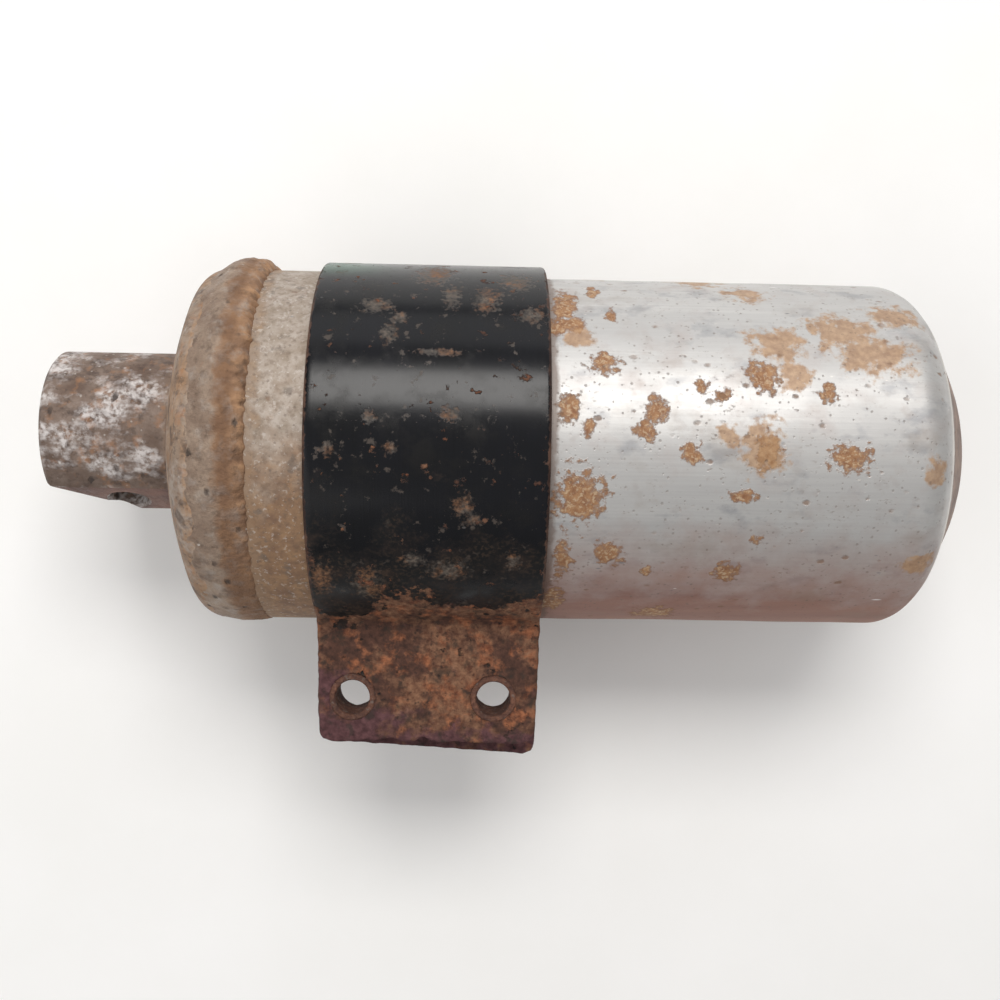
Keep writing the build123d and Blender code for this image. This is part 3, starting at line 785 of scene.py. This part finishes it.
def bead_tree():
    """Geometry Nodes: overlapping frozen pools of weld metal, laid round the fillet that comes in."""
    tree = bpy.data.node_groups.new("weld_pools", "GeometryNodeTree")
    face = tree.interface
    face.new_socket("Geometry", in_out="INPUT", socket_type="NodeSocketGeometry")
    for name, kind in (
            ("Ring Radius", "Float"), ("Pool Count", "Int"), ("Pool Half Length", "Float"),
            ("Pool Half Width", "Float"), ("Bead Height", "Float"), ("Bead Swell", "Float"),
            ("Pool Tilt", "Float"), ("Seed", "Int"), ("Material", "Material")):
        face.new_socket(name, in_out="INPUT", socket_type="NodeSocket" + kind)
    face.new_socket("Geometry", in_out="OUTPUT", socket_type="NodeSocketGeometry")
    given = add(tree, "NodeGroupInput").node.outputs
    circle = add(tree, "GeometryNodeCurvePrimitiveCircle", {
        "Radius": given["Ring Radius"], "Resolution": 128})
    dots = add(tree, "GeometryNodeCurveToPoints", {"Curve": circle, "Count": given["Pool Count"]})
    spot = add(tree, "GeometryNodeInputPosition")
    outward = add(tree, "ShaderNodeVectorMath", {0: spot}, operation="NORMALIZE")
    upward = add(tree, "ShaderNodeSeparateXYZ", {"Vector": outward}).node.outputs["Y"]
    swell = add(tree, "ShaderNodeMath", {
        0: upward, 1: given["Bead Swell"], 2: given["Bead Height"]}, operation="MULTIPLY_ADD")

    # The pool lies along the ring, wide across the joint, and leans back over the one before it.
    round_ring = dots.node.outputs["Tangent"]
    along = add(tree, "FunctionNodeAlignRotationToVector", {"Vector": round_ring}, axis="X")
    stood = add(tree, "FunctionNodeAlignRotationToVector", {
        "Rotation": along, "Vector": outward}, axis="Z", pivot_axis="X")
    jitter = add(tree, "FunctionNodeRandomValue", {
        0: (-0.06, -0.08, -0.3), 1: (0.06, 0.08, 0.3), "Seed": given["Seed"]}, data_type="FLOAT_VECTOR")
    tilt = add(tree, "ShaderNodeCombineXYZ", {"Y": given["Pool Tilt"]})
    lean = add(tree, "ShaderNodeVectorMath", {0: tilt, 1: jitter}, operation="ADD")
    turned = add(tree, "FunctionNodeRotateRotation", {
        "Rotation": stood, "Rotate By": lean}, rotation_space="LOCAL")
    size = add(tree, "ShaderNodeCombineXYZ", {
        "X": given["Pool Half Length"], "Y": given["Pool Half Width"], "Z": swell})
    number = add(tree, "GeometryNodeInputIndex")
    vary = add(tree, "FunctionNodeRandomValue", {
        0: (0.85, 0.84, 0.95), 1: (1.15, 1.12, 1.05), "Seed": given["Seed"], "ID": number,
    }, data_type="FLOAT_VECTOR")
    grown = add(tree, "ShaderNodeVectorMath", {0: size, 1: vary}, operation="MULTIPLY")
    pool = add(tree, "GeometryNodeMeshIcoSphere", {"Radius": 1.0, "Subdivisions": 4})
    placed = add(tree, "GeometryNodeInstanceOnPoints", {
        "Points": dots, "Instance": pool,
        "Rotation": turned, "Scale": grown})
    joined = add(tree, "GeometryNodeJoinGeometry")
    stand = add(tree, "GeometryNodeTransform", {
        "Geometry": placed, "Rotation": (0, radians(90), 0),
        "Translation": (axis.x + (weld_x + pool_middle) * MM, axis.y, axis.z)})
    tree.links.new(stand, joined.node.inputs["Geometry"])
    tree.links.new(given["Geometry"], joined.node.inputs["Geometry"])
    real = add(tree, "GeometryNodeRealizeInstances", {"Geometry": joined})
    finish = add(tree, "GeometryNodeSetMaterial", {"Geometry": real, "Material": given["Material"]})
    add(tree, "NodeGroupOutput", {"Geometry": finish})
    return tree


def give(modifier, values):
    """Set a Geometry Nodes modifier's named inputs by their identifiers."""
    for item in modifier.node_group.interface.items_tree:
        if item.item_type == "SOCKET" and item.in_out == "INPUT" and item.name in values:
            modifier[item.identifier] = values[item.name]


def fillet_reach(x, spin):
    """Radius of the smooth fillet at x from the weld joint, spin radians round from +Z to +Y."""
    left = np.clip((fillet_crown - x) / (fillet_crown - fillet_left), 0, 1)
    right = np.clip((x - fillet_crown) / (fillet_right - fillet_crown), 0, 1)
    shape = np.where(x < fillet_crown, np.cos(left * pi / 2) ** 2, (1 - right ** 2) ** 0.9)
    into = np.clip(shoulder_start - x, 0, shoulder_corner)
    drop = shoulder_corner - np.sqrt(shoulder_corner ** 2 - into ** 2)
    return mouth_radius - drop - 0.1 + (fillet_height + fillet_swell * np.sin(spin)) * shape


def make_fillet(around=240):
    """Smooth ring of weld metal from the shoulder over the joint to the can."""
    x_out = np.linspace(fillet_left, fillet_right, 26)
    x_in = np.linspace(fillet_right, fillet_left, 10)
    x = np.concatenate([x_out, x_in])
    spin = np.arange(around)[:, None] * 2 * pi / around
    sunk = np.concatenate([np.zeros(len(x_out)), np.full(len(x_in), 1.3)])
    reach = np.where(sunk > 0, mouth_radius - 0.6 - sunk, fillet_reach(x, spin))
    along = np.broadcast_to(x + weld_x, reach.shape)
    points = np.stack([along, reach * np.sin(spin), reach * np.cos(spin)], axis=-1)
    faces = grid_faces(around, len(x))
    last = (around - 1) * len(x)
    for i in range(len(x)):
        after = (i + 1) % len(x)
        faces.append([last + i, last + after, after, i])
    return make_mesh("weld_ripples", points.reshape(-1, 3), faces)


def make_bead(material):
    """Weld bead: pools grown by Geometry Nodes over the fillet, then fused into one skin."""
    thing = make_fillet()
    ring = mouth_radius - 0.4
    modifier = thing.modifiers.new("pools", "NODES")
    modifier.node_group = bead_tree()
    give(modifier, {
        "Ring Radius": ring * MM, "Pool Count": round(2 * pi * ring / pool_spacing),
        "Pool Half Length": pool_half_length * MM, "Pool Half Width": pool_half_width * MM,
        "Bead Height": (fillet_height + pool_lift) * MM, "Bead Swell": fillet_swell * MM,
        "Pool Tilt": radians(-pool_tilt), "Seed": 11, "Material": material})
    settle(thing)
    fuse = thing.modifiers.new("fuse", "REMESH")
    fuse.mode = "VOXEL"
    fuse.voxel_size = voxel * MM
    ease = thing.modifiers.new("ease", "SMOOTH")
    ease.factor = 0.5
    ease.iterations = 3
    settle(thing)
    thing.data.shade_smooth()
    points = read_points(thing)
    spin = np.arctan2(points[:, 1], points[:, 2])
    reach = np.hypot(points[:, 1], points[:, 2])
    rough = 0.12 * lumps(points, 1.4, 21) + 0.2 * lumps(points, 5.0, 22) + 0.08 * lumps(points, 0.8, 23)
    hold(thing, "crest", np.clip((reach - fillet_reach(points[:, 0] - weld_x, spin) + 0.1) / 0.7, 0, 1))
    points[:, 1] += np.sin(spin) * rough
    points[:, 2] += np.cos(spin) * rough
    write_points(thing, points)
    return thing


weld_material = weld_metal()
bead = make_bead(weld_material)
stand_in(bead, "weld_bead", "can", weld_material)


# ---- Clamp strap --------------------------------------------------------------------------------------

def strap_path(step):
    """Centreline of the strap in y and z: front flange, bend, ring, bend, rear flange."""
    front_y, front_z, front_radius = front_bend
    rear_y, rear_z, rear_radius = rear_bend
    front_turn = degrees(np.arctan2(front_z, front_y))
    rear_turn = degrees(np.arctan2(rear_z, rear_y))
    low = front_z - front_radius
    high = rear_z + rear_radius
    runs = [
        line_points((front_end, low), (front_y, low), step),
        arc_points((front_y, front_z), front_radius, -90, front_turn - 180, step),
        arc_points((0, 0), strap_ring, front_turn, rear_turn - 360, step),
        arc_points((rear_y, rear_z), rear_radius, rear_turn - 180, 90, step),
        line_points((rear_y, high), (rear_end, high), step),
    ]
    return np.concatenate([runs[0]] + [run[1:] for run in runs[1:]])


def edge_bites(x):
    """How far corrosion has eaten up into the front flange's end."""
    bites = 0.9 * np.exp(-((x + 7.0) / 2.6) ** 2) + 1.3 * np.exp(-((x - 0.2) / 1.5) ** 2)
    bites += 0.5 * np.exp(-((x + 12.0) / 1.2) ** 2) + 0.35 * np.exp(-((x - 7.5) / 2.0) ** 2)
    return bites


def make_strap(step=0.6, columns=52):
    """Steel strip bent round the can into two flanges, with rounded, nibbled edges."""
    path = strap_path(step)
    run = np.concatenate([[0], np.cumsum(np.hypot(*np.diff(path, axis=0).T))])
    way = np.gradient(path, axis=0)
    way /= np.linalg.norm(way, axis=1, keepdims=True)
    out = np.stack([-way[:, 1], way[:, 0]], axis=1)

    # Section loop: across the outer face, round one edge, back across the inner face, round the other.
    half = strap_thickness / 2
    flat = np.linspace(-1, 1, columns)
    rim = np.radians([67, 45, 22, 0, -22, -45, -67])
    rim_in = half * (1 - np.cos(rim))
    rim_out = half * np.sin(rim)
    share = np.concatenate([flat, np.ones(len(rim)), flat[::-1], -np.ones(len(rim))])
    inset = np.concatenate([np.full(columns, half), rim_in, np.full(columns, half), rim_in[::-1]])
    proud = np.concatenate([np.full(columns, half), rim_out, np.full(columns, -half), rim_out[::-1]])

    rows = len(path)
    from_front = run[:, None]
    from_rear = (run[-1] - run)[:, None]
    width = strap_half - flange_taper * np.clip(1 - from_front / flange_leg, 0, 1)
    for gap in (from_front, from_rear):
        cut = np.clip(flange_corner - gap, 0, flange_corner)
        width = width - (flange_corner - np.sqrt(flange_corner ** 2 - cut ** 2))
    x = strap_middle + share[None, :] * (width - inset[None, :])
    bite = edge_bites(x) * np.clip(1 - from_front / bite_fade, 0, 1)
    skew = (strap_middle - x) * rear_skew * np.clip(1 - from_rear / skew_fade, 0, 1)
    shift = bite + skew
    y = path[:, :1] + out[:, :1] * proud[None, :] + shift
    z = path[:, 1:] + out[:, 1:] * proud[None, :]
    points = np.stack([x, y, z], axis=-1).reshape(-1, 3)
    loop = len(share)
    faces = grid_faces(rows, loop)
    for start in (0, (rows - 1) * loop):
        for i in range(columns - 1):
            far = 2 * columns + len(rim) - 1 - i
            faces.append([start + i, start + i + 1, start + far - 1, start + far])
        faces.append([start + columns - 1 + i for i in range(len(rim) + 2)])
        faces.append([start + (2 * columns + len(rim) - 1 + i) % loop for i in range(len(rim) + 2)])
    return make_mesh("strap_band", points, faces)


def drill(thing, holes):
    """Cut round holes along z through a mesh; each hole is x, y, radius, lowest z and highest z."""
    for x, y, radius, low, high in holes:
        mesh = bpy.data.meshes.new("drill")
        work = bmesh.new()
        bmesh.ops.create_cone(
            work, segments=72, radius1=radius * MM, radius2=radius * MM, depth=(high - low) * MM,
            cap_ends=True)
        bmesh.ops.translate(work, vec=axis + Vector((x, y, (low + high) / 2)) * MM, verts=work.verts)
        work.to_mesh(mesh)
        work.free()
        cutter = bpy.data.objects.new("drill", mesh)
        bpy.context.scene.collection.objects.link(cutter)
        cut = thing.modifiers.new("hole", "BOOLEAN")
        cut.operation = "DIFFERENCE"
        cut.object = cutter
        settle(thing)
        bpy.data.objects.remove(cutter)


strap = make_strap()
flange_gap_middle = (front_bend[1] - front_bend[2] + rear_bend[1] + rear_bend[2]) / 2
front_holes = [(x, bolt_y, sleeve_radius, flange_gap_middle, 20) for x in (-bolt_x, bolt_x)]
rear_holes = [(x, bolt_y, rear_hole_radius, 0, flange_gap_middle) for x in (-bolt_x, bolt_x)]
drill(strap, front_holes + rear_holes)
strap_points = read_points(strap)
strap.data.shade_smooth()

# Rust creeps up both flanges from their ends and round the bends, with enamel left in places.
strap_x, strap_y, strap_z = strap_points.T
low_part = 1 - smooth_step(strap_y, bolt_y + 17.0, bolt_y + 28.0)
front_face = smooth_step(strap_z, 8.0, 12.0)
kept = np.zeros(len(strap_points))
kept_patches = [(-16.5, -33.0, 6.5, 3.6), (12.0, -27.0, 11.0, 6.0), (-17, -38.5, 3.0, 1.5)]
for x, y, half_x, half_y in kept_patches:
    gap = np.hypot((strap_x - x) / half_x, (strap_y - y) / half_y)
    kept = np.maximum(kept, 1 - smooth_step(gap, 0.6, 1.3))
rust = np.clip(low_part - 0.9 * kept * front_face, 0, 1)
crust = 0.16 * lumps(strap_points, 2.2, 5) + 0.1 * lumps(strap_points, 0.9, 6)
hold(strap, "rust", rust)
low_left = smooth_step(strap_x, -4.0, -18.0) * smooth_step(strap_y, bolt_y + 11, bolt_y + 3)
low_edge = smooth_step(strap_y, bolt_y - 3.5, bolt_y - 9.0)
between = np.exp(-((strap_x + 6.0) / 5.0) ** 2 - ((strap_y - bolt_y + 3.5) / 2.5) ** 2)
hold(strap, "maroon", np.clip(0.75 * low_left + 0.8 * low_edge + 0.6 * between, 0, 1))
side_gap = strap_half - np.abs(strap_x - strap_middle)
hold(strap, "edge", 1 - smooth_step(side_gap, 0.0, 1.1))
strap_marks = [
    (-10, 42, 2.8, 3), (-5, 37, 1.4, 2), (-7, 31, 1.7, 3), (1, 61, 3.7, 7), (5, 47, 1.6, 5),
    (12, 45, 2.4, 5), (18, 56, 3.3, 5), (21, 39, 2.4, 3), (5, 7, 1.7, 2), (-10, 6, 1.1, 2),
    (-18, -3, 1.1, 2), (-6, -2, 1.1, 2), (8, -18, 1.9, 3), (10, -22, 1.5, 2), (-20, -43, 2, 6),
    (5, -39, 3.6, 3), (-11, -45, 2.8, 6), (18, -35, 1.2, 3), (-2, -35, 2, 2), (3, 25, 4, 1)]
strap_marks += scatter_marks(9, 26, (-20, 22), (75, 285), 2.6)
hold(strap, "chip", mark_field(strap_points, strap_marks))
turn = angle_of(strap_points)
# Where the painted green reflection lies: the upper left of the strap.
hold(strap, "green", smooth_step(strap_x, -4, -20) * smooth_step(turn, 56, 68) * smooth_step(turn, 92, 80))
normals = np.empty(len(strap_points) * 3)
strap.data.vertices.foreach_get("normal", normals)
swelling = crust * smooth_step(rust, 0.2, 0.8)
write_points(strap, strap_points + normals.reshape(-1, 3) * swelling[:, None])
stand_in(strap, "mounting_strap", "strap", strap_paint())


# ---- CAD nodes that stay ------------------------------------------------------------------------------

bright_aluminium = clean_metal("drawn_aluminium_tube", "#d3d5d8", "#a9acb0", 0.3, 0.4, (0.02, 1, 1))
galvanised = clean_metal("pressed_zinc_plated_steel", "#c3c6c4", "#8f9391", 0.38, 0.8, (1, 0.3, 0.3))
spring_wire = clean_metal("oil_tempered_spring_wire", "#77797c", "#3b3d40", 0.34, 0.5, (1, 0.2, 0.2))
nylon = moulded("moulded_nylon", "#e4dfcf", "#c9c2ab", 0.45, 0.6, 0.02)
rubber = moulded("moulded_nitrile_rubber", "#1c1d1c", "#0d0e0d", 0.5, 0.4, 0.02)
wire_cloth = clean_metal("woven_stainless_wire", "#b9bab8", "#6f706e", 0.35, 0.3, (1, 1, 1))
felt_material = felt()
node_materials = {
    "head_cap": forged_head(),
    "left_bolt_sleeve": rusted_sleeve(),
    "pickup_tube": bright_aluminium,
    "tube_o_ring": rubber,
    "inlet_deflector": galvanised,
    "deflector_clip": galvanised,
    "compression_spring": spring_wire,
    "upper_perforated_plate": galvanised,
    "upper_felt_pad": felt_material,
    "desiccant_bed": desiccant(),
    "lower_felt_pad": felt_material,
    "lower_perforated_plate": galvanised,
    "tube_grommet": nylon,
    "strainer_cage": nylon,
    "strainer_screen": wire_cloth,
    "strainer_band": galvanised,
}
node_materials["right_bolt_sleeve"] = node_materials["left_bolt_sleeve"]
for node, material in node_materials.items():
    frame["nodes"][node].data.materials.clear()
    frame["nodes"][node].data.materials.append(material)


# ---- Floor, light and camera --------------------------------------------------------------------------

def make_floor():
    """Pale matt floor under the part."""
    mesh = bpy.data.meshes.new("floor")
    half = 6.0
    z = cad_box[0].z
    corners = [(-half, -half, z), (half, -half, z), (half, half, z), (-half, half, z)]
    mesh.from_pydata(corners, [], [(0, 1, 2, 3)])
    floor = bpy.data.objects.new("floor", mesh)
    bpy.context.scene.collection.objects.link(floor)
    material, place = surface("matt_white_paper")
    clouds = patches(place, 60.0, 0.3, 0.7)
    look = {"Base Color": tone((clouds, "#f6f6f5", "#fafafa")), "Roughness": 0.9}
    floor.data.materials.append(shade(material, look))


def make_light(name, where, aim, width, height, power, tint):
    """Soft box at a place in metres, turned towards its aim."""
    light = bpy.data.lights.new(name, "AREA")
    light.shape = "RECTANGLE"
    light.size = width
    light.size_y = height
    light.energy = power
    light.color = colour(tint)[:3]
    lamp = bpy.data.objects.new(name, light)
    lamp.location = where
    lamp.rotation_euler = (Vector(aim) - Vector(where)).to_track_quat("-Z", "Y").to_euler()
    bpy.context.scene.collection.objects.link(lamp)


def make_sky():
    """Even sky, brightest overhead and dimmer towards the horizon."""
    world = bpy.data.worlds.new("studio_sky")
    world.use_nodes = True
    tree = world.node_tree
    tree.nodes.clear()
    way = add(tree, "ShaderNodeTexCoord").node.outputs["Generated"]
    height = add(tree, "ShaderNodeSeparateXYZ", {"Vector": way}).node.outputs["Z"]
    glow = add(tree, "ShaderNodeMapRange", {"Value": height, "To Min": 0.24, "To Max": 0.60})
    light = add(tree, "ShaderNodeBackground", {"Color": colour("#f4f3f2"), "Strength": glow})
    add(tree, "ShaderNodeOutputWorld", {"Surface": light})
    bpy.context.scene.world = world


def make_camera():
    """Camera that looks down on the part, a little turned, nearly square to the flange."""
    lens = bpy.data.cameras.new("camera")
    lens.lens = 39.22
    lens.sensor_width = 36.0
    camera = bpy.data.objects.new("camera", lens)
    yaw = Matrix.Rotation(-0.02661, 4, "Y")
    pitch = Matrix.Rotation(-0.01076, 4, "X")
    roll = Matrix.Rotation(0.01742, 4, "Z")
    place = Matrix.Translation(Vector((9.492, 44.988, 232.254)) * MM)
    camera.matrix_world = place @ yaw @ pitch @ roll
    bpy.context.scene.collection.objects.link(camera)
    bpy.context.scene.camera = camera


make_floor()
middle = (cad_box[0] + cad_box[1]) / 2
make_light("key", (0.04, middle.y + 0.50, 0.74), (0.0, middle.y, 0), 0.56, 0.34, 5.2, "#fffcf8")
make_light("fill", (-0.6, middle.y - 0.35, 0.55), middle, 1.0, 1.0, 2.4, "#f6f5f4")
make_light("back", (0.05, middle.y + 1.1, 0.32), middle, 1.6, 0.5, 2.4, "#ffffff")
make_sky()
bpy.context.scene.view_settings.view_transform = "Standard"
make_camera()
